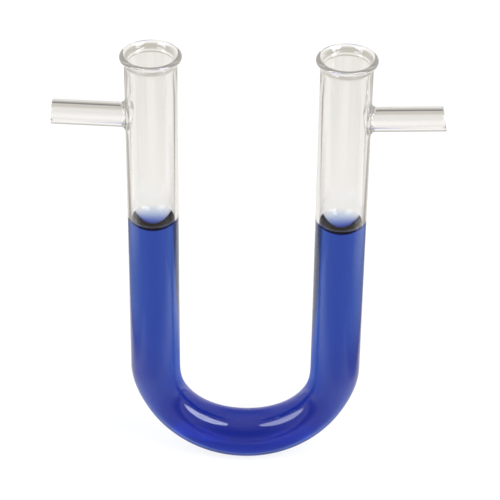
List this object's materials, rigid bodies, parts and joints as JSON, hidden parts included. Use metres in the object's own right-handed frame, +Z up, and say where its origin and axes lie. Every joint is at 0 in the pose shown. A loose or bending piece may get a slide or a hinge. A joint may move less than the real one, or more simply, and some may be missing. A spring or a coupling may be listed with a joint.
{
  "type": "drying tube",
  "caption": "U-form glass drying tube with rolled open mouths and side tubes, part filled with a blue dyed liquid.",
  "frame": {"origin": "under the middle of the bend, at its lowest point", "axes": "+Z up along the limbs to the mouths, +X along the side tubes from the left limb to the right limb, +Y through the plane of the U, away from its front"},
  "size_m": [0.1201, 0.0186, 0.1515],
  "materials": {
    "borosilicate_glass": "clear drawn tubing, flame-worked and fire-polished",
    "blue_dyed_water": "clear liquid with a deep violet-blue dye"
  },
  "bodies": {
    "root": {"glass_u_tube": "borosilicate_glass", "blue_liquid": "blue_dyed_water"}
  },
  "joints": []
}
